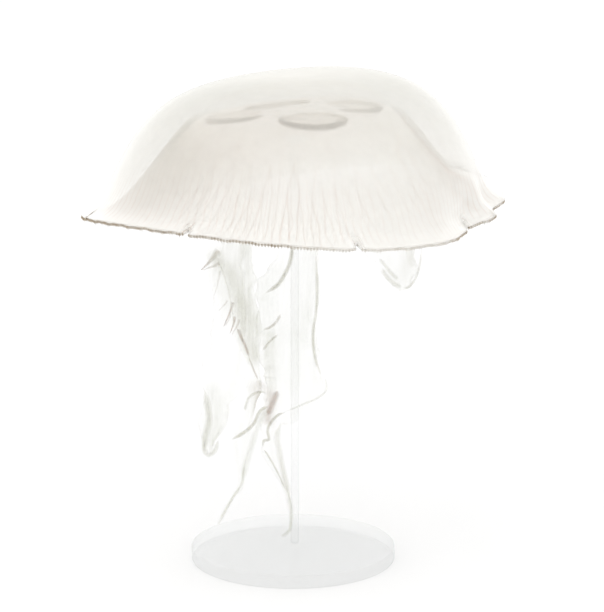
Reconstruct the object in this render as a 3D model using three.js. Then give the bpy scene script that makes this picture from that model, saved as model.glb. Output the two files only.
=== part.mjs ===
// Moon jellyfish (Aurelia aurita), a still life-size model on a clear display stand.
// Millimetres, +Z up, +X to the right seen from the front, +Y towards the back.
// The origin is the centre of the underside of the stand's base.

import * as THREE from 'three';
import { mergeVertices } from 'three/addons/utils/BufferGeometryUtils.js';

// ---------------------------------------------------------------- driving dimensions

const BELL_RADIUS = 125;
const MARGIN_HEIGHT = 217; // centre of the margin plane above the floor
const BELL_ROLL = THREE.MathUtils.degToRad(2.5); // right side up
const CROWN_SHIFT = 0.065; // sideways lean of the crown, mm per mm of height
const SADDLE = 8; // rise and fall of the margin round the bell
const CUT = 0.3; // thin cut between pieces that touch

// Matching stations of the outer and inner walls, from the crown's middle to the margin.
const OUTER_PROFILE = [
  [0, 79.5], [22, 79.2], [43, 77], [62, 72], [78, 63.5],
  [92, 50], [102.5, 33], [110, 18], [116.5, 7.5], [125, 0.8],
];
const INNER_PROFILE = [
  [0, 60], [20, 60], [38, 59], [52, 56.8], [61, 51.5],
  [71, 39.5], [83, 25], [96, 11.5], [110, 2.8], [124.3, -0.7],
];
const SHOULDER = 4; // station where the crown ends and the lobes begin
const MARGIN = 9; // station of the margin

const FIRST_NOTCH = 17; // degrees from the front, towards +X
const LOBE_COUNT = 8;
const LOBE_ANGLE = 360 / LOBE_COUNT;
const LOBE_NAMES = [
  'front_right', 'right', 'back_right', 'back', 'back_left', 'left', 'front_left', 'front',
];

// The margin is drawn in by a deep fold at the second notch and a shallow one beside it.
const DEEP_FOLD = { angle: 62, widthBefore: 22, widthAfter: 14, inward: 11 };
const SHALLOW_FOLD = { angle: 79, widthBefore: 8, widthAfter: 8, inward: 6 };
const FOLD_START = 6.2; // station where the folds begin
const FOLD_DROP = { before: 2.2, after: 1, blend: 3 }; // how far the deep fold hangs at its two sides

const NOTCH_NICHE = {
  top: 8.12, blend: 0.16, halfWidth: 1.2, cornerStart: 8.7, cornerRadius: 3.2,
};
const LOBE_ROWS = [5, 6, 7, 8.1, 8.28, NOTCH_NICHE.cornerStart, 8.88, MARGIN];
const RHOPALIUM = { station: 8.45, depth: 0.4, radius: 0.6, length: 2.2 };

const FRINGE = { top: -1.1, valley: -1.8, tip: -2.8, inner: 124.1, outer: 125.1, teeth: 12 };

const GONAD_COUNT = 4;
const GONAD = {
  radius: 36, radialHalf: 16, crossHalf: 19, openAngle: 40, drop: 2.4,
  tube: 1.5, taperShare: 0.08, taperPower: 0.35,
};

const MOUTH_ANGLE = 62; // direction of the first of the four mouth corners
const MANUBRIUM = {
  top: 58.4, waist: 50, bottom: 42, topRadius: 15, waistRadius: 10, lipRadius: 13, flute: 0.3,
};

const STAND = {
  baseRadius: 62, baseHeight: 8, bevel: 1.2,
  rodRadius: 2.5, rodX: 1, rodY: 2,
  padRadius: 8, padHeight: 2.5, padTop: 258.2, padRim: 0.8, padFoot: 3.5,
};

const ARM_THICKNESS = { edge: 1.0, rib: 2.4, least: 0.45, widthForMore: 22 };
const RUFFLE_FULL_WIDTH = 16;
const ARM_CUT = CUT * 0.7; // half the cut between two lengths, allowing for their slant

// ---------------------------------------------------------------- materials

function flesh(color, roughness, opacity) {
  return new THREE.MeshStandardMaterial({
    color, roughness, metalness: 0, transparent: true, opacity, side: THREE.DoubleSide,
  });
}

const MATERIALS = {
  jelly: () => flesh(0xf3efe6, 0.25, 0.55),
  fringe: () => flesh(0x8a7a62, 0.5, 0.9),
  senseOrgan: () => flesh(0x4a3b28, 0.5, 1),
  gonad: () => flesh(0x9c8c78, 0.45, 0.9),
  mouth: () => flesh(0xe6dfd0, 0.35, 0.7),
  arm: () => flesh(0xecebe2, 0.35, 0.6),
  acrylic: () => flesh(0xf6f8f8, 0.05, 0.4),
};

// ---------------------------------------------------------------- closed solids

function repeat(count, make) {
  return Array.from({ length: count }, (_, index) => make(index));
}

function solid(name, material, corners, triangles) {
  const raw = new THREE.BufferGeometry();
  const coordinates = corners.flatMap((corner) => corner.toArray());
  raw.setAttribute('position', new THREE.Float32BufferAttribute(coordinates, 3));
  raw.setIndex(triangles.flat());
  const geometry = mergeVertices(raw, 1e-3);
  const index = [];
  for (let i = 0; i < geometry.index.count; i += 3) {
    const [a, b, c] = [0, 1, 2].map((k) => geometry.index.getX(i + k));
    if (a !== b && b !== c && c !== a) index.push(a, b, c);
  }
  geometry.setIndex(index);
  geometry.computeVertexNormals();
  const mesh = new THREE.Mesh(geometry, material);
  mesh.name = name;
  return mesh;
}

// A closed slab between two grids of points of equal size. The front grid's rows run so that
// its faces look out; `around` joins the last column to the first.
function slab(name, material, front, back, around = false) {
  const rows = front.length;
  const columns = front[0].length;
  const corners = [...front.flat(), ...back.flat()];
  const triangles = [];
  const at = (side, row, column) => side * rows * columns + row * columns + (column % columns);
  const quad = (a, b, c, d) => triangles.push([a, b, c], [a, c, d]);
  const spans = around ? columns : columns - 1;
  for (let column = 0; column < spans; column += 1) {
    for (let row = 0; row < rows - 1; row += 1) {
      quad(at(0, row, column), at(0, row + 1, column), at(0, row + 1, column + 1), at(0, row, column + 1));
      quad(at(1, row, column), at(1, row, column + 1), at(1, row + 1, column + 1), at(1, row + 1, column));
    }
    quad(
      at(0, rows - 1, column), at(1, rows - 1, column),
      at(1, rows - 1, column + 1), at(0, rows - 1, column + 1),
    );
    quad(at(0, 0, column), at(0, 0, column + 1), at(1, 0, column + 1), at(1, 0, column));
  }
  if (!around) {
    for (let row = 0; row < rows - 1; row += 1) {
      quad(at(0, row, 0), at(1, row, 0), at(1, row + 1, 0), at(0, row + 1, 0));
      quad(
        at(0, row, columns - 1), at(0, row + 1, columns - 1),
        at(1, row + 1, columns - 1), at(1, row, columns - 1),
      );
    }
  }
  return solid(name, material, corners, triangles);
}

// A closed tube of rings of points, one ring for each step, with a fan at each end.
function tube(name, material, rings) {
  const sides = rings[0].length;
  const corners = rings.flat();
  const triangles = [];
  for (let ring = 0; ring < rings.length - 1; ring += 1) {
    for (let side = 0; side < sides; side += 1) {
      const a = ring * sides + side;
      const b = ring * sides + ((side + 1) % sides);
      triangles.push([a, b, b + sides], [a, b + sides, a + sides]);
    }
  }
  const last = (rings.length - 1) * sides;
  for (let side = 1; side < sides - 1; side += 1) {
    triangles.push([0, side + 1, side], [last, last + side, last + side + 1]);
  }
  return solid(name, material, corners, triangles);
}

// ---------------------------------------------------------------- the bell's own space

const outerCurve = new THREE.SplineCurve(OUTER_PROFILE.map(([r, h]) => new THREE.Vector2(r, h)));
const innerCurve = new THREE.SplineCurve(INNER_PROFILE.map(([r, h]) => new THREE.Vector2(r, h)));

function wallPoint(curve, station) {
  return curve.getPoint(station / MARGIN);
}

function foldAmount(fold, angle, station) {
  const offset = angle - fold.angle;
  const width = offset < 0 ? fold.widthBefore : fold.widthAfter;
  const across = Math.abs(offset) < width ? Math.cos((offset / width) * Math.PI * 0.5) ** 2 : 0;
  return across * THREE.MathUtils.smoothstep(station, FOLD_START, MARGIN);
}

// From the bell's angle (degrees from the front), radius and height to the model's space.
function place(angle, radius, height, station) {
  const turned = ((angle % 360) + 360) % 360;
  const deep = foldAmount(DEEP_FOLD, turned, station);
  const shallow = foldAmount(SHALLOW_FOLD, turned, station);
  const { before, after, blend } = FOLD_DROP;
  const past = THREE.MathUtils.smoothstep(turned, DEEP_FOLD.angle - blend, DEEP_FOLD.angle + blend);
  const drop = THREE.MathUtils.lerp(before, after, past);
  const radians = THREE.MathUtils.degToRad(turned);
  const reach = radius - DEEP_FOLD.inward * deep - SHALLOW_FOLD.inward * shallow;
  const saddle = -SADDLE * Math.sin(2 * radians) * (radius / BELL_RADIUS) ** 2;
  const level = height + saddle - drop * deep;
  const across = reach * Math.sin(radians) + CROWN_SHIFT * height;
  return new THREE.Vector3(
    across * Math.cos(BELL_ROLL) - level * Math.sin(BELL_ROLL),
    -reach * Math.cos(radians),
    MARGIN_HEIGHT + across * Math.sin(BELL_ROLL) + level * Math.cos(BELL_ROLL),
  );
}

function wallAt(curve, angle, station) {
  const { x: radius, y: height } = wallPoint(curve, station);
  return place(angle, radius, height, station);
}

// ---------------------------------------------------------------- bell

function makeCrown() {
  const SEGMENTS = 56;
  const shoulderStep = OUTER_PROFILE[SHOULDER][0] - OUTER_PROFILE[SHOULDER - 1][0];
  const edge = SHOULDER - CUT / 2 / shoulderStep;
  const rows = [...Array(SHOULDER).keys(), edge];
  const rings = (curve) => rows.map((station) => repeat(
    SEGMENTS,
    (column) => wallAt(curve, (column * 360) / SEGMENTS, station),
  ));
  return slab('bell_crown', MATERIALS.jelly(), rings(outerCurve), rings(innerCurve), true);
}

// Half the gap between two lobes, in mm along the margin: a thin cut that widens into the
// niche of the sense organ and then into the lobes' round corners.
function notchHalfGap(station) {
  const niche = (NOTCH_NICHE.halfWidth - CUT / 2)
    * THREE.MathUtils.smoothstep(station, NOTCH_NICHE.top, NOTCH_NICHE.top + NOTCH_NICHE.blend);
  const cornerDepth = MARGIN - NOTCH_NICHE.cornerStart;
  const cornerShare = Math.max(0, (station - NOTCH_NICHE.cornerStart) / cornerDepth);
  const corner = NOTCH_NICHE.cornerRadius * (1 - Math.sqrt(1 - cornerShare ** 2));
  return CUT / 2 + niche + corner;
}

function lobeEdges(index, station) {
  const { x: radius } = wallPoint(outerCurve, station);
  const gap = THREE.MathUtils.radToDeg(notchHalfGap(station) / radius);
  const start = FIRST_NOTCH + index * LOBE_ANGLE;
  return [start + gap, start + LOBE_ANGLE - gap];
}

function makeLobe(index) {
  const COLUMNS = 10;
  const shoulderStep = OUTER_PROFILE[SHOULDER + 1][0] - OUTER_PROFILE[SHOULDER][0];
  const rows = [SHOULDER + CUT / 2 / shoulderStep, ...LOBE_ROWS];
  const lines = (curve) => rows.map((station) => {
    const [from, to] = lobeEdges(index, station);
    return repeat(
      COLUMNS + 1,
      (column) => wallAt(curve, THREE.MathUtils.lerp(from, to, column / COLUMNS), station),
    );
  });
  const name = `bell_lobe_${LOBE_NAMES[index]}`;
  return slab(name, MATERIALS.jelly(), lines(outerCurve), lines(innerCurve));
}

// A strip of short marginal tentacles under one lobe, with a toothed lower edge.
function makeFringe(index) {
  const columns = FRINGE.teeth * 2;
  const [from, to] = lobeEdges(index, MARGIN);
  const line = (radius, heightAt) => repeat(columns + 1, (column) => {
    const angle = THREE.MathUtils.lerp(from, to, column / columns);
    return place(angle, radius, heightAt(column), MARGIN);
  });
  const lines = (radius) => [
    line(radius, () => FRINGE.top),
    line(radius, (column) => (column % 2 === 1 ? FRINGE.tip : FRINGE.valley)),
  ];
  const name = `tentacle_fringe_${LOBE_NAMES[index]}`;
  return slab(name, MATERIALS.fringe(), lines(FRINGE.outer), lines(FRINGE.inner));
}

function makeRhopalium(index) {
  const angle = FIRST_NOTCH + index * LOBE_ANGLE;
  const inWall = (station) => wallAt(outerCurve, angle, station)
    .lerp(wallAt(innerCurve, angle, station), RHOPALIUM.depth);
  const centre = inWall(RHOPALIUM.station);
  const along = inWall(MARGIN).sub(centre).normalize();
  const geometry = new THREE.SphereGeometry(RHOPALIUM.radius, 8, 6);
  geometry.deleteAttribute('normal');
  geometry.deleteAttribute('uv');
  geometry.scale(1, RHOPALIUM.length / RHOPALIUM.radius / 2, 1);
  const merged = mergeVertices(geometry);
  merged.computeVertexNormals();
  const mesh = new THREE.Mesh(merged, MATERIALS.senseOrgan());
  mesh.name = `rhopalium_${index + 1}`;
  mesh.position.copy(centre);
  mesh.quaternion.setFromUnitVectors(new THREE.Vector3(0, 1, 0), along);
  return mesh;
}

// ---------------------------------------------------------------- gonads and mouth

function innerHeight(radius) {
  const STATION_STEP = 0.02;
  let station = 0;
  while (wallPoint(innerCurve, station).x < radius) station += STATION_STEP;
  return wallPoint(innerCurve, station).y;
}

// A horseshoe that lies against the ceiling of the bell, open towards the mouth.
function makeGonad(index) {
  const STEPS = 22;
  const SIDES = 6;
  const direction = FIRST_NOTCH + index * (360 / GONAD_COUNT);
  const sweep = 180 - GONAD.openAngle;
  const centreAt = (step) => {
    const turn = THREE.MathUtils.degToRad(THREE.MathUtils.lerp(-sweep, sweep, step / STEPS));
    const out = GONAD.radius + GONAD.radialHalf * Math.cos(turn);
    const cross = GONAD.crossHalf * Math.sin(turn);
    const radius = Math.hypot(out, cross);
    const angle = direction + THREE.MathUtils.radToDeg(Math.atan2(cross, out));
    return place(angle, radius, innerHeight(radius) - GONAD.drop, 0);
  };
  const rings = repeat(STEPS + 1, (step) => {
    const centre = centreAt(step);
    const ahead = centreAt(step + 0.5).sub(centreAt(step - 0.5)).normalize();
    const up = new THREE.Vector3(0, 0, 1);
    const side = new THREE.Vector3().crossVectors(ahead, up).normalize();
    const top = new THREE.Vector3().crossVectors(side, ahead);
    const share = THREE.MathUtils.clamp(step / STEPS, GONAD.taperShare, 1 - GONAD.taperShare);
    const radius = GONAD.tube * Math.sin(Math.PI * share) ** GONAD.taperPower;
    return repeat(SIDES, (corner) => {
      const turn = (corner * 2 * Math.PI) / SIDES;
      return centre.clone()
        .addScaledVector(side, Math.cos(turn) * radius)
        .addScaledVector(top, -Math.sin(turn) * radius);
    });
  });
  return tube(`gonad_${index + 1}`, MATERIALS.gonad(), rings);
}

// The short four-cornered stalk round the mouth, under the middle of the bell.
function makeManubrium() {
  const SEGMENTS = 24;
  const levels = [
    [MANUBRIUM.bottom, MANUBRIUM.lipRadius],
    [(MANUBRIUM.bottom + MANUBRIUM.waist) / 2, (MANUBRIUM.lipRadius + MANUBRIUM.waistRadius) / 2],
    [MANUBRIUM.waist, MANUBRIUM.waistRadius],
    [MANUBRIUM.top, MANUBRIUM.topRadius],
  ];
  const rings = levels.map(([height, radius]) => repeat(SEGMENTS, (column) => {
    const angle = (column * 360) / SEGMENTS;
    const flute = 1 + MANUBRIUM.flute * Math.cos(THREE.MathUtils.degToRad(4 * (angle - MOUTH_ANGLE)));
    return place(angle, radius * flute, height, 0);
  }));
  return tube('manubrium', MATERIALS.mouth(), rings);
}

// ---------------------------------------------------------------- oral arms

// Each arm is a soft ribbon that hangs from a corner of the mouth. Its stations give the middle
// line (x, y, z), how far it spreads to the left and right of it, and how deep it folds back.
// `turn` swings the ribbon about its length, so that it faces a little sideways.
const ARMS = {
  oral_arm_front_left: {
    parts: ['upper', 'middle', 'lower', 'tail'],
    splits: [5, 9, 13],
    turn: 25,
    ruffle: { waves: 7, depth: 2.2 },
    path: [
      { at: [-7, -15, 258], left: 5, right: 5, fold: 2 },
      { at: [-11, -17, 248], left: 6, right: 6, fold: 4 },
      { at: [-24, -25, 227], left: 9, right: 9, fold: 6 },
      { at: [-32, -29, 196], left: 14, right: 12, fold: 9 },
      { at: [-34.5, -29, 184], left: 17.5, right: 13, fold: 9 },
      { at: [-31, -28, 165], left: 12.5, right: 12, fold: 8 },
      { at: [-27, -26, 147], left: 7, right: 9.5, fold: 6 },
      { at: [-24.5, -24, 134], left: 4, right: 6, fold: 3 },
      { at: [-22, -24, 121], left: 3.3, right: 4, fold: 2 },
      { at: [-22, -25, 109], left: 5.5, right: 4, fold: 3 },
      { at: [-27, -24, 90], left: 8.2, right: 6, fold: 5 },
      { at: [-29.5, -20, 77], left: 7.7, right: 7.7, fold: 4 },
      { at: [-30.2, -17, 61.5], left: 3.3, right: 2.8, fold: 2 },
      { at: [-31, -16, 50.5], left: 1.6, right: 1.6, fold: 0.4 },
      { at: [-36, -14, 42], left: 1.4, right: 1.4, fold: 0.3 },
      { at: [-41, -12, 32.5], left: 1.2, right: 1.2, fold: 0.2 },
      { at: [-45, -9, 23.5], left: 0.9, right: 0.9, fold: 0.1 },
    ],
  },
  oral_arm_back_right: {
    parts: ['upper', 'middle', 'lower', 'tail'],
    splits: [4, 7, 11],
    turn: -25,
    ruffle: { waves: 6, depth: 2 },
    path: [
      { at: [9, 15, 258], left: 4.5, right: 4.5, fold: -2 },
      { at: [14, 13, 244], left: 5, right: 6, fold: -3 },
      { at: [15, 0, 217], left: 6, right: 8, fold: -3 },
      { at: [7.5, -12, 192], left: 8.6, right: 9, fold: -3 },
      { at: [4, -14, 171.5], left: 14.5, right: 15, fold: -5 },
      { at: [0.5, -14, 149], left: 19.5, right: 18, fold: -6 },
      { at: [0, -13, 131.5], left: 19.5, right: 18.5, fold: -6 },
      { at: [1, -12, 113], left: 18, right: 21, fold: -5 },
      { at: [-3, -10.5, 101], left: 14.5, right: 16.5, fold: -4 },
      { at: [-11.5, -9, 89.5], left: 7, right: 6.5, fold: -3 },
      { at: [-13.5, -8, 77.5], left: 5, right: 5, fold: -2 },
      { at: [-12.5, -7, 67.2], left: 5.2, right: 4.8, fold: -2 },
      { at: [-7.3, -6, 51.5], left: 1.9, right: 2.2, fold: -0.6 },
      { at: [-3.7, -5, 41.4], left: 1.3, right: 1.8, fold: -0.3 },
      { at: [-1.2, -6, 29.2], left: 1.1, right: 1.1, fold: 0.2 },
      { at: [-2, -8, 19.4], left: 0.9, right: 0.9, fold: 0.1 },
      { at: [-6.7, -10, 16], left: 0.8, right: 0.8, fold: 0.1 },
    ],
  },
  oral_arm_back_left: {
    parts: ['upper', 'middle', 'lower'],
    splits: [4, 7],
    turn: -32,
    ruffle: { waves: 5, depth: 2.2 },
    path: [
      { at: [-14, 8, 258], left: 4.5, right: 4.5, fold: -2 },
      { at: [-17, 12, 247], left: 5.5, right: 5.5, fold: -3 },
      { at: [-26, 20, 222], left: 8, right: 8, fold: -4 },
      { at: [-33, 24, 190], left: 8.6, right: 8.6, fold: -6 },
      { at: [-35, 25, 155], left: 10, right: 10, fold: -7 },
      { at: [-37, 25, 129], left: 12, right: 14, fold: -7 },
      { at: [-42, 23, 106], left: 12, right: 17, fold: -7 },
      { at: [-47.2, 22, 89], left: 7.5, right: 13, fold: -5 },
      { at: [-50, 22, 70.5], left: 5.5, right: 6, fold: -3 },
      { at: [-52.5, 23, 59.7], left: 2.4, right: 2.4, fold: -1 },
    ],
  },
  oral_arm_front_right: {
    parts: ['upper', 'lower'],
    splits: [4],
    turn: 24,
    ruffle: { waves: 4, depth: 2 },
    path: [
      { at: [16, -8, 258], left: 4.5, right: 4.5, fold: 2 },
      { at: [21, -12, 249], left: 6, right: 6, fold: 3 },
      { at: [33, -20, 235], left: 9, right: 9, fold: 5 },
      { at: [48, -27, 219], left: 12, right: 14, fold: 7 },
      { at: [58, -30, 202], left: 14, right: 19.5, fold: 8 },
      { at: [62.5, -31, 187], left: 11, right: 14.5, fold: 6 },
      { at: [66, -31, 173.5], left: 3.4, right: 4, fold: 1 },
    ],
  },
};

const ARM_COLUMNS = [-1, -0.5, 0, 0.5, 1];
const ROWS_PER_STATION = 2;

function armSection(arm, curve, s) {
  const last = arm.path.length - 1;
  const here = THREE.MathUtils.clamp(s, 0, last);
  const low = Math.min(Math.floor(here), last - 1);
  const mix = here - low;
  const blend = (key) => THREE.MathUtils.lerp(arm.path[low][key], arm.path[low + 1][key], mix);
  const centre = curve.getPoint(here / last);
  const ahead = curve.getTangent(here / last);
  const facing = THREE.MathUtils.degToRad(arm.turn);
  const span = new THREE.Vector3(Math.cos(facing), Math.sin(facing), 0);
  const across = span.addScaledVector(ahead, -span.dot(ahead)).normalize();
  const back = new THREE.Vector3().crossVectors(across, ahead);
  const width = blend('left') + blend('right');
  const wave = Math.sin((here / last) * arm.ruffle.waves * Math.PI * 2) * arm.ruffle.depth
    * Math.min(1, width / RUFFLE_FULL_WIDTH);
  const widening = Math.min(1, ARM_THICKNESS.least + width / ARM_THICKNESS.widthForMore);
  const sectionPoint = (q, side) => { // q runs from the left edge, -1, to the right edge, 1
    const thickness = THREE.MathUtils.lerp(ARM_THICKNESS.rib, ARM_THICKNESS.edge, Math.abs(q));
    const reach = q * (q < 0 ? blend('left') : blend('right'));
    const depth = blend('fold') * q * q + wave * q + (side * thickness * widening) / 2;
    return centre.clone().addScaledVector(across, reach).addScaledVector(back, depth);
  };
  return {
    front: ARM_COLUMNS.map((q) => sectionPoint(q, -1)),
    back: ARM_COLUMNS.map((q) => sectionPoint(q, 1)),
  };
}

function makeArm(name, arm) {
  const middle = arm.path.map((station) => new THREE.Vector3(...station.at));
  const curve = new THREE.CatmullRomCurve3(middle, false, 'catmullrom');
  const last = middle.length - 1;
  const bounds = [0, ...arm.splits, last];
  return arm.parts.map((part, index) => {
    const gap = ARM_CUT / (middle[bounds[index]].z - middle[bounds[index] + 1].z);
    const from = bounds[index] + (index === 0 ? 0 : gap);
    const to = bounds[index + 1] - (index === arm.parts.length - 1 ? 0 : gap);
    const count = (bounds[index + 1] - bounds[index]) * ROWS_PER_STATION;
    const sections = repeat(
      count + 1,
      (row) => armSection(arm, curve, THREE.MathUtils.lerp(from, to, row / count)),
    );
    return slab(
      `${name}_${part}`,
      MATERIALS.arm(),
      sections.map((section) => section.front),
      sections.map((section) => section.back),
    );
  });
}

// ---------------------------------------------------------------- display stand

function lathe(name, profile, segments, x, y, z) {
  const geometry = new THREE.LatheGeometry(profile.map(([r, h]) => new THREE.Vector2(r, h)), segments);
  geometry.deleteAttribute('normal');
  geometry.deleteAttribute('uv');
  const merged = mergeVertices(geometry, 1e-4);
  merged.computeVertexNormals();
  const mesh = new THREE.Mesh(merged, MATERIALS.acrylic());
  mesh.name = name;
  mesh.rotation.x = Math.PI / 2;
  mesh.position.set(x, y, z);
  return mesh;
}

function makeStand() {
  const { baseRadius, baseHeight, bevel, rodRadius, rodX, rodY } = STAND;
  const { padRadius, padHeight, padTop, padRim, padFoot } = STAND;
  const base = lathe('stand_base', [
    [0, 0], [baseRadius, 0], [baseRadius, baseHeight - bevel],
    [baseRadius - bevel, baseHeight], [0, baseHeight],
  ], 48, 0, 0, 0);
  const rodLength = padTop - padHeight - CUT - (baseHeight + CUT);
  const rod = lathe('stand_rod', [
    [0, 0], [rodRadius, 0], [rodRadius, rodLength], [0, rodLength],
  ], 20, rodX, rodY, baseHeight + CUT);
  const pad = lathe('stand_pad', [
    [0, 0], [padFoot, 0], [padRadius, padHeight - padRim], [padRadius, padHeight], [0, padHeight],
  ], 24, rodX, rodY, padTop - padHeight);
  return [base, rod, pad];
}

// ---------------------------------------------------------------- the model

const bell = new THREE.Group();
bell.add(makeCrown(), ...repeat(LOBE_COUNT, makeLobe));
bell.add(...repeat(LOBE_COUNT, makeFringe), ...repeat(LOBE_COUNT, makeRhopalium));
bell.add(...repeat(GONAD_COUNT, makeGonad), makeManubrium());

const arms = new THREE.Group();
for (const [name, arm] of Object.entries(ARMS)) {
  arms.add(...makeArm(name, arm));
}

const stand = new THREE.Group();
stand.add(...makeStand());

const jellyfish = new THREE.Group();
jellyfish.add(bell, arms, stand);

export default jellyfish;
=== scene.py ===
"""Looks of the moon jellyfish on its display stand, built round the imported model."""

import math

import bpy
import numpy as np
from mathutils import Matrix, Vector


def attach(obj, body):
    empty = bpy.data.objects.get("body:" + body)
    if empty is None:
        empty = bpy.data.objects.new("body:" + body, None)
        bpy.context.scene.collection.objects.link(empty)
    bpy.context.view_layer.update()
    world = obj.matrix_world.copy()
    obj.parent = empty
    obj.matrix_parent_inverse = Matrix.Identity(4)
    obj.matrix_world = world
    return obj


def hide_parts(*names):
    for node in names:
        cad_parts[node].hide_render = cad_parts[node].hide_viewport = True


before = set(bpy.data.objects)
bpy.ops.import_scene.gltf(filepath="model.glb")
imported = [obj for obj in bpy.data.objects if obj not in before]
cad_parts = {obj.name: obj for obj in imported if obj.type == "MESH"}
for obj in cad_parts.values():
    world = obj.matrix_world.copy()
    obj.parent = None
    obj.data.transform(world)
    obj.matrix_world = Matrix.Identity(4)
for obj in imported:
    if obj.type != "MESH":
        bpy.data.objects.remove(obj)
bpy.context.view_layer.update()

MM = 0.001
RANDOM = np.random.default_rng(7)
SCENE = bpy.context.scene

# ---- sizes, in millimetres

BELL_RADIUS = 125
MARGIN_HEIGHT = 217
BELL_ROLL = math.radians(2.5)
CROWN_SHIFT = 0.065
SADDLE = 8

# matching stations of the outer and inner walls, from the crown's middle to the margin
OUTER_PROFILE = np.array([
    (0, 79.5), (22, 79.2), (43, 77), (62, 72), (78, 63.5),
    (92, 50), (102.5, 33), (110, 18), (116.5, 7.5), (125, 0.8),
])
INNER_PROFILE = np.array([
    (0, 60), (20, 60), (38, 59), (52, 56.8), (61, 51.5),
    (71, 39.5), (83, 25), (96, 11.5), (110, 2.8), (124.3, -0.7),
])
MARGIN = 9

FIRST_NOTCH = 17
LOBE_COUNT = 8
LOBE_ANGLE = 360 / LOBE_COUNT
LOBE_NAMES = ["front_right", "right", "back_right", "back", "back_left", "left", "front_left", "front"]
NOTCH_ANGLES = [FIRST_NOTCH + LOBE_ANGLE * k for k in range(LOBE_COUNT)]
NICHE_TOP = 8.45
NICHE_HALF = 1.2
CORNER_HALF = 3.6

# the folds of the margin: angle, width before and after it, and how far it is drawn in
DEEP_FOLD = (62, 22, 14, 11)
SHALLOW_FOLD = (79, 8, 8, 6)
FOLD_START = 6.2
DROP_BEFORE = 2.2
DROP_AFTER = 1
DROP_BLEND = 3

GONAD_COUNT = 4
GONAD_RADIUS = 36
GONAD_RADIAL = 16
GONAD_CROSS = 19
GONAD_DROP = 2.4
GONAD_OPEN = 40


def smoothstep(x, low, high):
    t = np.clip((x - low) / (high - low), 0, 1)
    return t * t * (3 - 2 * t)


def lerp(a, b, t):
    return a + (b - a) * t


def spline(points, t, straight_ends=False):
    """Catmull-Rom curve through evenly numbered points; t runs from 0 to the last number."""
    points = np.asarray(points, float)
    last = len(points) - 1
    t = np.clip(np.asarray(t, float), 0, last)
    low = np.minimum(t.astype(int), last - 1)
    w = (t - low)[..., None]
    before = 2 * points[0] - points[1] if straight_ends else points[0]
    after = 2 * points[-1] - points[-2] if straight_ends else points[-1]
    padded = np.concatenate([before[None], points, after[None]])
    p0, p1, p2, p3 = (padded[low + k] for k in range(4))
    v0 = (p2 - p0) * 0.5
    v1 = (p3 - p1) * 0.5
    return (2 * p1 - 2 * p2 + v0 + v1) * w ** 3 + (-3 * p1 + 3 * p2 - 2 * v0 - v1) * w ** 2 + v0 * w + p1


# ---- meshes

def make_mesh(name, points, faces, **attributes):
    """A new object from points in millimetres; attributes are one float, or one for each point."""
    mesh = bpy.data.meshes.new(name)
    mesh.from_pydata((np.asarray(points) * MM).tolist(), [], faces)
    mesh.validate()
    for key, values in attributes.items():
        layer = mesh.attributes.new(key, "FLOAT", "POINT")
        layer.data.foreach_set("value", np.full(len(points), values, np.float32))
    mesh.polygons.foreach_set("use_smooth", [True] * len(mesh.polygons))
    piece = bpy.data.objects.new(name, mesh)
    SCENE.collection.objects.link(piece)
    return piece


def round_angles(columns):
    return np.linspace(0, 360, columns, endpoint=False)


def grid_faces(rows, columns, start=0, wrap=False, flip=False):
    spans = columns if wrap else columns - 1
    row, column = np.meshgrid(np.arange(rows - 1), np.arange(spans), indexing="ij")
    after = (column + 1) % columns
    quads = np.stack([
        row * columns + column, (row + 1) * columns + column,
        (row + 1) * columns + after, row * columns + after,
    ], axis=-1).reshape(-1, 4) + start
    return (quads[:, ::-1] if flip else quads).tolist()


class Parts:
    """Gathers points, faces, shade and cover of many small shapes for one joined mesh."""

    def __init__(self):
        self.points = []
        self.faces = []
        self.looks = []
        self.count = 0

    def add(self, points, faces, shade, cover):
        points = np.asarray(points, float).reshape(-1, 3)
        self.points.append(points)
        self.faces.extend((np.asarray(face) + self.count).tolist() for face in faces)
        self.looks.append([np.broadcast_to(values, len(points)) for values in (shade, cover)])
        self.count += len(points)

    def build(self, name):
        shade, cover = np.concatenate(self.looks, axis=1)
        return make_mesh(name, np.concatenate(self.points), self.faces, shade=shade, cover=cover)


def add_tube(parts, path, radius, sides, shade, cover, up=(0, 0, 1)):
    """A closed tube along a path; radius, shade and cover are one number or one for each step."""
    ahead = np.gradient(path, axis=0)
    ahead /= np.linalg.norm(ahead, axis=1, keepdims=True) + 1e-9
    side = np.cross(ahead, up)
    weak = np.linalg.norm(side, axis=1) < 1e-3
    side[weak] = np.cross(ahead[weak], (1, 0, 0))
    side /= np.linalg.norm(side, axis=1, keepdims=True) + 1e-9
    top = np.cross(side, ahead)
    turn = np.linspace(0, 2 * math.pi, sides, endpoint=False)[:, None]
    steps = len(path)
    radius = np.broadcast_to(radius, steps)[:, None, None]
    rings = path[:, None, :] + radius * (np.cos(turn) * side[:, None, :] - np.sin(turn) * top[:, None, :])
    faces = grid_faces(steps, sides, wrap=True, flip=True)
    faces += [list(range(sides)), list(range((steps - 1) * sides, steps * sides))[::-1]]
    shade, cover = (np.repeat(np.broadcast_to(values, steps), sides) for values in (shade, cover))
    parts.add(rings, faces, shade, cover)


# nested tubes of a soft cord: share of its radius and share of its cover
SOFT_LAYERS = ((0.45, 0.4), (0.85, 0.3), (1.35, 0.2))


def add_soft_tube(parts, path, radius, sides, shade, cover):
    """A blurred cord: nested tubes that hide less and less outwards."""
    for share, weight in SOFT_LAYERS:
        add_tube(parts, path, radius * share, sides, shade, cover * weight, up=(0, 1, 0))


# ---- materials

WHITE_LEVEL = 1.25  # how bright the even white surroundings are


def seen(red, green, blue):
    """Surface colour that shows as this 0-255 screen colour in the even white light."""
    linear = [((v / 255 + 0.055) / 1.055) ** 2.4 / WHITE_LEVEL for v in (red, green, blue)]
    return (*linear, 1)


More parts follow.
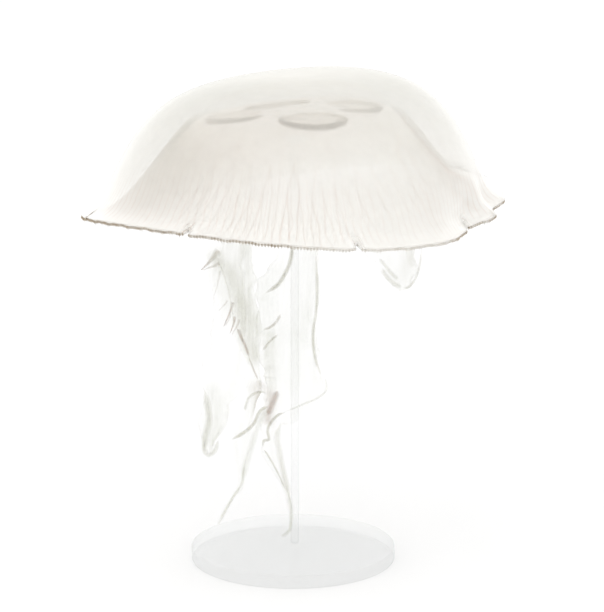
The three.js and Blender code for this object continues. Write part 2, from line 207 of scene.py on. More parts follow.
class Nodes:
    """Short names for building one material's node tree."""

    def __init__(self, name):
        self.material = bpy.data.materials.new(name)
        self.material.use_nodes = True
        self.tree = self.material.node_tree
        self.shader = self.tree.nodes["Principled BSDF"]

    def feed(self, socket, value):
        if isinstance(value, bpy.types.NodeSocket):
            self.tree.links.new(value, socket)
        else:
            socket.default_value = value

    def node(self, kind, inputs, **settings):
        """A new node; inputs are values or links for its sockets, by name or number."""
        made = self.tree.nodes.new("ShaderNode" + kind)
        for key, value in settings.items():
            setattr(made, key, value)
        for key, value in inputs.items():
            self.feed(made.inputs[key], value)
        return made

    def surface(self, **inputs):
        """Values or links for the shader's own sockets, with _ for each space in a name."""
        for key, value in inputs.items():
            self.feed(self.shader.inputs[key.replace("_", " ")], value)

    def math(self, operation, *values, clamp=False):
        return self.node("Math", dict(enumerate(values)), operation=operation, use_clamp=clamp).outputs[0]

    def attribute(self, name):
        return self.node("Attribute", {}, attribute_name=name).outputs["Fac"]

    def place(self):
        return self.node("TexCoord", {}).outputs["Object"]

    def split(self, vector):
        return self.node("SeparateXYZ", {0: vector}).outputs

    def join(self, x, y, z=0):
        return self.node("CombineXYZ", {0: x, 1: y, 2: z}).outputs[0]

    def noise(self, scale, detail, place=None):
        inputs = {"Scale": scale, "Detail": detail, "Vector": place or self.place()}
        return self.node("TexNoise", inputs).outputs["Fac"]

    def mix(self, factor, first, second):
        inputs = {"Factor": factor, 6: first, 7: second}
        return self.node("Mix", inputs, data_type="RGBA").outputs[2]

    def bump(self, height, distance, strength):
        inputs = {"Strength": strength, "Distance": distance, "Height": height}
        self.surface(Normal=self.node("Bump", inputs).outputs["Normal"])


JELLY_IOR = 1.34  # the index of refraction of wet tissue
# the least cosine of the viewing angle that counts, which limits how much an edge-on wall hides
WALL_LEAST_SLANT = 0.14
ARM_LEAST_SLANT = 0.45
MUSCLE_LEAST_SLANT = 0.3


def translucent(name, light, dark, roughness, patchiness, grain, blush=None):
    """Thin wet tissue: `shade` runs from light to dark colour, `cover` is how much it hides.

    Seen edge-on a membrane hides more, as light passes through more of it."""
    n = Nodes(name)
    blotch = n.noise(grain, 4)
    uneven = n.math("MULTIPLY", n.math("SUBTRACT", blotch, 0.5), patchiness)
    shade = n.math("ADD", n.attribute("shade"), uneven)
    n.colour = n.mix(n.math("MAXIMUM", n.math("MINIMUM", shade, 1), 0), light, dark)
    if blush:
        n.colour = n.mix(n.attribute("blush"), n.colour, blush)
    spread = n.math("MULTIPLY_ADD", n.noise(grain * 2.3, 2), patchiness, 1 - patchiness * 0.5)
    n.cover = n.math("MULTIPLY", n.attribute("cover"), spread, clamp=True)
    n.surface(Roughness=roughness, IOR=JELLY_IOR)
    return n


def finish_translucent(n, least_slant=WALL_LEAST_SLANT):
    facing = n.node("LayerWeight", {"Blend": 0.5}).outputs["Facing"]
    slant = n.math("MAXIMUM", n.math("SUBTRACT", 1, facing), least_slant)
    clear = n.math("POWER", n.math("SUBTRACT", 1, n.cover), n.math("DIVIDE", 1, slant))
    n.surface(Alpha=n.math("SUBTRACT", 1, clear), Base_Color=n.colour)
    return n.material


def radial_streaks(n, round_scale, down_scale):
    """Noise drawn out along the bell's radii, from 0 to 1."""
    x, y, z = n.split(n.place())
    unit = n.node("VectorMath", {0: n.join(x, y)}, operation="NORMALIZE").outputs[0]
    around = n.node("VectorMath", {0: unit, "Scale": round_scale}, operation="SCALE").outputs[0]
    x, y, _ = n.split(around)
    return n.noise(1, 2, n.join(x, y, n.math("MULTIPLY", z, down_scale)))


CANAL_PITCH = 45 / 20  # degrees between the fine canals near the margin
CANAL_TINT = seen(232, 198, 182)
CANAL_WANDER = 0.07  # how far the lines stray from even spacing, in radians
AXIS_LEAN = 0.0012  # how far the lower bell's axis is off the middle, in metres


def canal_lines(n):
    """The fine canals as they show on the outside: 1 on each line and 0 between."""
    x, y, _ = n.split(n.place())
    angle = n.math("ARCTAN2", n.math("SUBTRACT", x, AXIS_LEAN), n.math("MULTIPLY", y, -1))
    wander = n.math("MULTIPLY", n.math("SUBTRACT", n.noise(38, 3), 0.5), CANAL_WANDER)
    offset = n.math("SUBTRACT", n.math("ADD", angle, wander), math.radians(FIRST_NOTCH))
    wave = n.math("COSINE", n.math("MULTIPLY", offset, 360 / CANAL_PITCH))
    return n.math("POWER", n.math("MAXIMUM", wave, 0), 3)


def jelly_material():
    pinkish = seen(260, 242, 228)
    n = translucent("jelly", seen(268, 267, 263), seen(216, 214, 203), 0.22, 0.1, 60, pinkish)
    line = n.math("MULTIPLY", canal_lines(n), n.math("MULTIPLY", radial_streaks(n, 30, 34), 2))
    n.colour = n.mix(n.math("MULTIPLY", line, n.attribute("canal"), clamp=True), n.colour, CANAL_TINT)
    n.bump(n.noise(180, 2), 0.0004, 0.12)
    return finish_translucent(n)


def muscle_material():
    n = translucent("muscle", seen(216, 198, 180), seen(170, 160, 138), 0.5, 0.35, 40)
    streak = radial_streaks(n, 46, 22)
    n.cover = n.math("MULTIPLY", n.cover, n.math("ADD", streak, 0.5), clamp=True)
    return finish_translucent(n, MUSCLE_LEAST_SLANT)


def gonad_material():
    n = translucent("gonad", seen(228, 218, 204), seen(140, 124, 102), 0.5, 0.5, 420)
    n.bump(n.noise(900, 3), 0.0004, 0.4)
    return finish_translucent(n)


def arm_material():
    n = translucent("oral_arm", seen(196, 200, 172), seen(158, 110, 62), 0.35, 0.3, 200)
    stretched = n.node("Mapping", {"Scale": (620, 620, 45), "Vector": n.place()})
    hanging = n.noise(1, 3, stretched.outputs[0])
    n.cover = n.math("MULTIPLY", n.cover, n.math("ADD", n.math("MULTIPLY", hanging, 1.4), 0.3), clamp=True)
    n.bump(hanging, 0.0003, 0.2)
    return finish_translucent(n, ARM_LEAST_SLANT)


# light and dark colour, roughness, patchiness and grain of the plain materials
PLAIN_LOOKS = {
    "canal": (seen(238, 200, 182), seen(212, 172, 150), 0.45, 0.5, 300),
    "tentacle": (seen(228, 218, 198), seen(146, 112, 70), 0.5, 0.4, 900),
    "sense_organ": (seen(200, 190, 156), seen(116, 104, 62), 0.5, 0.3, 1500),
    "clear_acrylic": (seen(248, 250, 250), seen(220, 226, 226), 0.06, 0.04, 60),
}


def plain_material(name):
    return finish_translucent(translucent(name, *PLAIN_LOOKS[name]))


# ---- the bell's own space

def fold_amount(fold, angle, station):
    offset = angle - fold[0]
    width = np.where(offset < 0, fold[1], fold[2])
    across = np.where(np.abs(offset) < width, np.cos(offset / width * math.pi / 2) ** 2, 0)
    return across * smoothstep(station, FOLD_START, MARGIN)


def place(angle, radius, height, station):
    """From the bell's angle (degrees from the front), radius and height to the model's space."""
    turned = np.mod(np.asarray(angle, float), 360)
    deep = fold_amount(DEEP_FOLD, turned, station)
    shallow = fold_amount(SHALLOW_FOLD, turned, station)
    past = smoothstep(turned, DEEP_FOLD[0] - DROP_BLEND, DEEP_FOLD[0] + DROP_BLEND)
    drop = lerp(DROP_BEFORE, DROP_AFTER, past)
    radians = np.radians(turned)
    reach = radius - DEEP_FOLD[3] * deep - SHALLOW_FOLD[3] * shallow
    saddle = -SADDLE * np.sin(2 * radians) * (radius / BELL_RADIUS) ** 2
    level = height + saddle - drop * deep
    across = reach * np.sin(radians) + CROWN_SHIFT * height
    return np.stack([
        across * math.cos(BELL_ROLL) - level * math.sin(BELL_ROLL),
        -reach * np.cos(radians),
        MARGIN_HEIGHT + across * math.sin(BELL_ROLL) + level * math.cos(BELL_ROLL),
    ], axis=-1)


def wall(angle, station, depth):
    """A point of the bell; depth 0 is the outer wall and 1 the inner one."""
    profile = lerp(spline(OUTER_PROFILE, station), spline(INNER_PROFILE, station), depth)
    return place(angle, profile[..., 0], profile[..., 1], station)


def notch_distance(angle):
    """Distance along the margin to the nearest notch, in millimetres."""
    offset = np.mod(np.asarray(angle, float) - FIRST_NOTCH + LOBE_ANGLE / 2, LOBE_ANGLE) - LOBE_ANGLE / 2
    return np.abs(np.radians(offset)) * BELL_RADIUS


def lobe_end(angle):
    """Station where the wall ends: the margin, or higher up inside a notch."""
    distance = notch_distance(angle)
    niche = 1 - smoothstep(distance, NICHE_HALF * 0.7, NICHE_HALF * 1.25)
    corner = np.sqrt(1 - np.clip((CORNER_HALF - distance) / (CORNER_HALF - NICHE_HALF), 0, 1) ** 2)
    rounded = MARGIN - 0.3 * (1 - corner)
    return lerp(rounded, NICHE_TOP, niche)


def bell_angles():
    """Angles round the bell, closer together at the notches."""
    near = np.concatenate([np.linspace(-6, -2, 5), np.linspace(-1.7, 1.7, 13), np.linspace(2, 6, 5)])
    near = np.degrees(near / BELL_RADIUS)
    gap = LOBE_ANGLE - 2 * near[-1]
    between = near[-1] + gap * np.arange(1, 50) / 50
    one = np.concatenate([near, between])
    return np.concatenate([notch + one for notch in NOTCH_ANGLES])


# ---- bell

def finish_piece(piece, material, slot, *nodes):
    """Gives a piece its material, puts it under the root body and hides the CAD nodes that it replaces; slot
    is not used.
    """
    piece.data.materials.append(material)
    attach(piece, "root")
    if nodes:
        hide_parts(*nodes)


# station, cover, shade and pinkness of the walls; the inner one turns milky towards the margin
OUTER_LOOK = np.array([
    (0, 0.26, 0.76, 0.1), (3, 0.27, 0.68, 0), (4.5, 0.33, 0.45, 0),
    (5.5, 0.36, 0.3, 0), (7, 0.36, 0.1, 0), (9, 0.34, 0, 0),
])
INNER_LOOK = np.array([
    (0, 0.05, 0.4, 0.6), (2, 0.07, 0.4, 0.6), (3.5, 0.13, 0.3, 0.6), (4.5, 0.26, 0.2, 0.6),
    (5.5, 0.46, 0.1, 0.5), (6.5, 0.64, 0, 0.25), (7.5, 0.72, 0, 0), (9, 0.68, 0, 0),
])
MUSCLE_LOOK = np.array([
    (3.2, 0, 0.6), (4.2, 0.045, 0.7), (5, 0.12, 0.7), (6, 0.14, 0.55), (7, 0.06, 0.4), (8.4, 0, 0.2),
])
CANAL_STRENGTH = 0.2  # how strongly the fine canals show through the outer wall
NOTCH_CLEARNESS = 0.6  # how much clearer the wall is round each notch
PALE_LOBE = (33, 20, 0.45)  # where the canals are faintest: angle, half width, how much fainter
CANAL_SHOW = (5.4, 7.8)  # stations between which the canals come out on the outer wall
CANAL_FADE = (8.4, 8.8)  # and between which they end
# the muscle sheet and the inner wall's pinkness are fainter on the side of this angle and stronger opposite
MUSCLE_FAINT_SIDE = math.radians(65)
MUSCLE_UNEVEN = 0.65
MUSCLE_SIDE_REACH = 1  # how much further down it goes at the left and right, in stations
MUSCLE_SIDE_GAIN = 1  # how much thicker it is there
MUSCLE_DEPTH = 0.82  # its place between the outer wall (0) and the inner one (1)
MUSCLE_END = 8.05


def look_at(table, stations, column):
    """Smooth reading of one column of a table, whose first column is the station."""
    row = np.interp(stations, table[:, 0], np.arange(len(table)))
    return np.clip(spline(table[:, column][:, None], row), 0, 1).ravel()


def notch_clear(angle, station):
    """How much clearer the bell is at a point; 0 away from the notches."""
    near = 1 - smoothstep(notch_distance(angle), NICHE_HALF * 1.4, CORNER_HALF * 1.1)
    return NOTCH_CLEARNESS * near * smoothstep(station, 7.85, NICHE_TOP)


def canal_tone(angle):
    """How strongly the canals show; they are fainter in one front lobe."""
    away = np.abs(np.mod(angle - PALE_LOBE[0] + 180, 360) - 180) / PALE_LOBE[1]
    return 1 - PALE_LOBE[2] * np.exp(-away ** 2)


def make_bell(material):
    angles = bell_angles()
    columns = len(angles)
    rows = 64
    ends = lobe_end(angles)
    steps = np.linspace(0, 1, rows) ** 0.85
    stations = steps[1:, None] * ends[None, :]
    grids = [wall(angles, stations, side).reshape(-1, 3) for side in (0, 1)]
    points = np.concatenate([*grids, [wall(0, 0, side) for side in (0, 1)]])
    block = (rows - 1) * columns
    faces = grid_faces(rows - 1, columns, wrap=True)
    faces += grid_faces(rows - 1, columns, start=block, wrap=True, flip=True)
    outer_tip, inner_tip = 2 * block, 2 * block + 1
    last = (rows - 2) * columns
    for column in range(columns):
        after = (column + 1) % columns
        faces.append([outer_tip, column, after])
        faces.append([inner_tip, block + after, block + column])
        faces.append([last + column, block + last + column, block + last + after, last + after])
    cover, shade, blush = (
        np.concatenate([look_at(table, stations, column) for table in (OUTER_LOOK, INNER_LOOK)]
                       + [(OUTER_LOOK[0, column], INNER_LOOK[0, column])])
        for column in (1, 2, 3)
    )
    # how near each column is to the side where the muscle and the inner wall's pinkness are fainter
    thin = 0.5 + 0.5 * np.cos(np.radians(angles) - MUSCLE_FAINT_SIDE)
    blush[block:2 * block] *= np.tile(1 - MUSCLE_UNEVEN * thin, rows - 1)
    solid = 1 - notch_clear(angles, stations)
    cover[:2 * block] *= np.tile(solid.ravel(), 2)
    lines = CANAL_STRENGTH * smoothstep(stations, *CANAL_SHOW) * (1 - smoothstep(stations, *CANAL_FADE))
    canal = np.zeros(len(points))
    canal[:block] = (lines * solid * canal_tone(angles)).ravel()
    bell = make_mesh("bell_skin", points, faces, cover=cover, shade=shade, blush=blush, canal=canal)
    finish_piece(bell, material, "jelly", "bell_crown", *["bell_lobe_" + name for name in LOBE_NAMES])


def make_muscle(material):
    """The thin sheet of muscle over the inner wall, darkest at the shoulder."""
    columns = 360
    steps = np.linspace(MUSCLE_LOOK[0, 0], MUSCLE_END, 60)
    angles = round_angles(columns)
    stations = steps[:, None]
    points = wall(angles, stations, MUSCLE_DEPTH).reshape(-1, 3)
    sideways = np.sin(np.radians(angles)) ** 2
    row = stations - MUSCLE_SIDE_REACH * sideways * smoothstep(stations, 4, 8)
    uneven = 1 - MUSCLE_UNEVEN * np.cos(np.radians(angles) - MUSCLE_FAINT_SIDE)
    uneven *= 1 + MUSCLE_SIDE_GAIN * sideways
    sheet = make_mesh(
        "muscle_sheet", points, grid_faces(len(steps), columns, wrap=True),
        cover=look_at(MUSCLE_LOOK, row, 1) * np.tile(uneven, len(steps)), shade=look_at(MUSCLE_LOOK, row, 2),
    )
    finish_piece(sheet, material, "jelly")


CANAL_DEPTH = 0.96
CANALS_PER_TREE = 19  # a tree for each notch
# stations where the canals of a tree part: the whole tree, groups of four, pairs
CANAL_FORKS = ((4.5, 5.2), (5.2, 6.2), (6.2, 7.3))
CANAL_START = 4.1
CANAL_END = 8.7  # the side canals end about here, and the middle one of a lobe just below
CANAL_STEPS = 44
RING_STATION = 8.78  # the ring canal that joins them at the margin


def canal_angles(centre, leaf, station, forks):
    """Angle of one canal down the bell; canals of a group run together above their fork."""
    pitch = LOBE_ANGLE / (CANALS_PER_TREE + 1)
    middle = (CANALS_PER_TREE - 1) / 2
    angle = np.full(len(station), centre)
    for size, fork in zip((4, 2, 1), forks):
        first = leaf // size * size
        members = np.arange(first, min(first + size, CANALS_PER_TREE))
        group = centre + (members.mean() - middle) * pitch
        angle = lerp(angle, group, smoothstep(station, *fork))
    return angle


def canal_first(leaf, forks):
    """Station where a canal leaves the one it shares."""
    if leaf == CANALS_PER_TREE // 2 // 4 * 4:
        return CANAL_START
    level = 0 if leaf % 4 == 0 else 1 if leaf % 2 == 0 else 2
    return forks[level][0]


def add_canal(parts, angle, station, wander):
    fine = smoothstep(station, 6.4, 7.6)
    turn = angle + wander * np.sin(station * 2.6 + angle[-1]) * fine
    station = np.minimum(station, lobe_end(turn) - 0.14)
    path = wall(turn, station, CANAL_DEPTH)
    strength = lerp(0.03, 0.095, smoothstep(station, 4.8, 7.6)) * RANDOM.uniform(0.5, 1.3)
    radius = lerp(0.45, 0.32, smoothstep(station, 4.5, 8))
    strength = strength * canal_tone(turn) * (1 - notch_clear(turn, station))
    shade = lerp(0.5, 0.2, smoothstep(station, 5.5, 8.5))
    add_tube(parts, path, radius, 5, shade, strength)


def make_canals(material):
    parts = Parts()
    for tree, centre in enumerate(NOTCH_ANGLES):
        for leaf in range(CANALS_PER_TREE):
            shift = 0.25 * math.sin(leaf // 4 * 2.1 + tree)
            forks = [(low + shift, high + shift) for low, high in CANAL_FORKS]
            last = CANAL_END + RANDOM.uniform(-0.35, 0.1)
            station = np.linspace(canal_first(leaf, forks), last, CANAL_STEPS)
            add_canal(parts, canal_angles(centre, leaf, station, forks), station, RANDOM.uniform(0.1, 0.35))
        station = np.linspace(CANAL_START, CANAL_END + 0.05, 60)
        add_canal(parts, np.full(len(station), centre + LOBE_ANGLE / 2), station, 0.15)
    ring_angle = np.linspace(0, 360, 900)
    ring = wall(ring_angle, np.minimum(RING_STATION, lobe_end(ring_angle) - 0.1), 0.6)
    add_tube(parts, ring, 0.25, 5, shade=0.4, cover=0.04)
    finish_piece(parts.build("radial_canals"), material, "jelly")


STOMACH_PROFILE = np.array([(0, 73), (16, 72.7), (31, 71), (43, 67), (51, 62.5), (55, 58.5)])
STOMACH_COVER = 0.035


def make_stomach(material):
    """The roof of the stomach: a thin pinkish dome inside the crown."""
    columns = 192
    steps = np.linspace(0, len(STOMACH_PROFILE) - 1, 40)[1:]
    angles = round_angles(columns)
    profile = spline(STOMACH_PROFILE, steps)
    pouches = 1 + 0.03 * np.cos(np.radians(4 * (angles - FIRST_NOTCH)))
    points = place(angles, profile[:, :1] * pouches, profile[:, 1:], 0).reshape(-1, 3)
    tip = place(0, 0, STOMACH_PROFILE[0, 1], 0)
    faces = grid_faces(len(steps), columns, wrap=True)
    faces += [[len(points), column, (column + 1) % columns] for column in range(columns)]
    rim = np.append(np.repeat(smoothstep(steps, 2, 5), columns), 0)
    dome = make_mesh(
        "stomach_roof", np.vstack([points, tip]), faces,
        shade=1 - 0.1 * rim, cover=STOMACH_COVER * (1 - 0.9 * rim), blush=0.6,
    )
    finish_piece(dome, material, "jelly")


# ---- gonads, mouth, sense organs

def inner_height(radius):
    profile = spline(INNER_PROFILE, np.linspace(0, MARGIN, 400))
    return np.interp(radius, profile[:, 0], profile[:, 1])


def gonad_line(index, turn, inward=0, drop=GONAD_DROP):
    """Points of a horseshoe's centre line; turn is in degrees from its outer side."""
    direction = FIRST_NOTCH + index * 360 / GONAD_COUNT
    radians = np.radians(turn)
    out = GONAD_RADIUS + (GONAD_RADIAL - inward) * np.cos(radians)
    cross = (GONAD_CROSS - inward) * np.sin(radians)
    radius = np.hypot(out, cross)
    angle = direction + np.degrees(np.arctan2(cross, out))
    return place(angle, radius, inner_height(radius) - drop, 0)


# how strongly each horseshoe shows, and the turn at which it is thickest
GONAD_STRENGTH = (1.3, 0.6, 0.35, 1.2)
GONAD_LEAN = (-35, -40, 0, 55)
GONAD_TUBE = 0.9  # radius of the ruffled tube along the horseshoe
GONAD_HALOS = ((1.4, 0.4), (2, 0.22))  # fainter tubes round it: radius and share of its cover
GONAD_INNER = 1.9  # how far inside it the second ruffle and the filaments start


def make_gonad(index, material):
    parts = Parts()
    strength = GONAD_STRENGTH[index]
    sweep = 180 - GONAD_OPEN
    turn = np.linspace(-sweep, sweep, 240)
    ends = np.sin(np.pi * np.clip((turn + sweep) / (2 * sweep), 0.03, 0.97)) ** 0.4
    frill = 1 + 0.16 * np.sin(np.radians(turn) * 34) + 0.08 * np.sin(np.radians(turn) * 71 + 1)
    outer_side = np.minimum(0.6 + 0.6 * np.cos(np.radians(turn - GONAD_LEAN[index])), 1)
    shade = lerp(0.35, 0.95, outer_side)
    cover = lerp(0.06, 0.42, outer_side) * strength
    line = gonad_line(index, turn)
    add_tube(parts, line, GONAD_TUBE * ends * frill, 10, shade, cover)
    for radius, weight in GONAD_HALOS:
        add_tube(parts, line, radius * ends, 10, shade * 0.8, cover * weight)
    second = gonad_line(index, turn * 0.96, GONAD_INNER, GONAD_DROP - 0.3)
    add_tube(parts, second, 0.8 * ends / frill, 8, shade * 0.8, cover * 0.7)
    share = np.linspace(0, 1, 6)
    for start in np.arange(-sweep + 6, sweep - 6, 5.5):
        reach = RANDOM.uniform(2.4, 4.2)
        drift = RANDOM.uniform(-3, 3)
        drop = GONAD_DROP + 0.8 * share * share
        path = gonad_line(index, start + drift * share, GONAD_INNER + reach * share, drop)
        add_tube(parts, path, lerp(0.28, 0.1, share), 5, shade=0.5, cover=0.22 * strength)
    disc_turn = round_angles(96) - 180
    rings = np.linspace(0, 1, 10)[:, None]
    parts.add(
        gonad_line(index, disc_turn, 1 + (GONAD_RADIAL - 1.2) * rings, GONAD_DROP - 1),
        grid_faces(len(rings), len(disc_turn), wrap=True),
        shade=0.3, cover=np.repeat(lerp(0.19, 0.09, rings), len(disc_turn)) * strength,
    )
    finish_piece(parts.build(f"gonad_skin_{index + 1}"), material, "gonad", f"gonad_{index + 1}")


MOUTH_ANGLE = 62
MANUBRIUM_LEVELS = np.array([(42, 13), (43.5, 12.9), (46, 11.4), (50, 10), (54, 11.6), (58.4, 15)])
MOUTH_FLUTE = 0.3
MOUTH_LINING = 0.86  # radius of the stalk's inside as a share of its outside


def make_manubrium(material):
    columns = 120
    steps = np.linspace(0, len(MANUBRIUM_LEVELS) - 1, 36)
    levels = spline(MANUBRIUM_LEVELS, steps)
    angles = round_angles(columns)
    flute = 1 + MOUTH_FLUTE * np.cos(np.radians(4 * (angles - MOUTH_ANGLE)))
    pleats = 1 + 0.018 * np.sin(np.radians(angles * 44))
    outside, inside = (
        place(angles, levels[:, 1:] * flute * pleats * share, levels[:, :1], 0) for share in (1, MOUTH_LINING)
    )
    points = np.concatenate([outside[::-1], inside]).reshape(-1, 3)
    faces = grid_faces(2 * len(steps), columns, wrap=True)
    last = (2 * len(steps) - 1) * columns
    faces += [[c, (c + 1) % columns, last + (c + 1) % columns, last + c] for c in range(columns)]
    stalk = make_mesh("mouth_stalk", points, faces, shade=0.3, cover=0.015)
    finish_piece(stalk, material, "oral_arm", "manubrium")


ORGAN_STATIONS = (8.4, 8.66)


def make_rhopalium(index, material):
    """A sense organ, dark at its tip, between two pale flaps."""
    parts = Parts()
    angle = NOTCH_ANGLES[index]
    share = np.linspace(0, 1, 9)
    station = lerp(*ORGAN_STATIONS, share)
    radius = 0.3 + 0.3 * np.sin(np.pi * np.clip(share * 1.05, 0, 1)) ** 0.8 * share ** 0.5
    dark_tip = 0.01 + 0.2 * smoothstep(share, 0.6, 0.9)
    add_tube(parts, wall(angle, station, 0.4), radius, 10, lerp(0.1, 0.9, share), dark_tip)
    for side in (-1, 1):
        flap_angle = angle + side * lerp(0.35, 0.8, share)
        add_tube(parts, wall(flap_angle, station, 0.25), 0.28, 6, shade=0.1, cover=0.02)
    finish_piece(parts.build(f"rhopalium_skin_{index + 1}"), material, "sense_organ", f"rhopalium_{index + 1}")


# ---- tentacles round the margin

TENTACLE_PITCH = 1.72
TENTACLE_LENGTH = (1.5, 3)
TENTACLE_RADII = (0.6, 0.72, 0.56, 0.36, 0.26, 0.16, 0.06)
FRINGE_DEPTH = 0.45  # the fringe's place between the outer wall (0) and the inner one (1)
# how dark the fringe is round the bell: angle from the first notch, darkness
FRINGE_TONE = np.array([
    (0, 0.3), (30, 0.35), (45, 0.6), (90, 0.5), (135, 0.4), (225, 0.6), (270, 0.9), (314, 0.85),
    (320, 0.7), (328, 0.72), (339.5, 0.85), (343, 0.5), (350, 0.35), (360, 0.3),
])


def fringe_wave(angle):
    """Small uneven sag of the fringe below the margin, in millimetres."""
    turn = np.radians(angle)
    return 0.25 * np.sin(turn * 37) + 0.2 * np.sin(turn * 83 + 1)


def make_tentacles(index, material):
    parts = Parts()
    start = NOTCH_ANGLES[index]
    corner = math.degrees(CORNER_HALF / BELL_RADIUS)
    from_angle, to_angle = start + corner * 0.55, start + LOBE_ANGLE - corner * 0.55
    count = int(math.radians(to_angle - from_angle) * BELL_RADIUS / TENTACLE_PITCH)
    angles = np.linspace(from_angle, to_angle, count)
    band_angle = np.linspace(from_angle, to_angle, count * 4)
    ends = lobe_end(band_angle)
    band = wall(band_angle, ends - 0.03, FRINGE_DEPTH)
    band[:, 2] -= 0.5 + fringe_wave(band_angle)
    beads = 0.5 + 0.5 * np.cos(np.linspace(0, (count - 1) * 2 * math.pi, len(band_angle)))
    patches = 0.75 + 0.25 * np.sin(band_angle * 2.1 + index) * np.sin(band_angle * 0.77 + 2 * index)
    patches *= np.interp(band_angle - FIRST_NOTCH, FRINGE_TONE[:, 0], FRINGE_TONE[:, 1])
    tone = 0.35 + 0.45 * beads * patches
    add_tube(parts, band, 0.5 + 0.4 * beads, 8, tone, (0.15 + 0.5 * beads) * patches)
    share = np.linspace(0, 1, len(TENTACLE_RADII))
    for angle in angles:
        length = RANDOM.uniform(*TENTACLE_LENGTH)
        lean = RANDOM.uniform(-0.5, 0.5)
        curl = RANDOM.uniform(0.2, 1.3)
        root = wall(angle, lobe_end(angle) - 0.02, 0.4)
        root[2] -= fringe_wave(angle)
        sine, cosine = math.sin(math.radians(angle)), math.cos(math.radians(angle))
        along = lean * share * length * 0.35
        inward = curl * share ** 2
        x, y = along * cosine - inward * sine, along * sine + inward * cosine
        path = root + np.stack([x, y, -share * length], axis=-1)
        dark = RANDOM.uniform(0.5, 1) * np.interp(angle, band_angle, patches)
        shade, cover = lerp(0.9, 0.2, share) * dark, lerp(0.7, 0.1, share) * dark
        add_tube(parts, path, TENTACLE_RADII, 6, shade, cover, up=(1, 0, 0))
    name = LOBE_NAMES[index]
    finish_piece(parts.build("tentacles_" + name), material, "tentacles", "tentacle_fringe_" + name)


# ---- oral arms

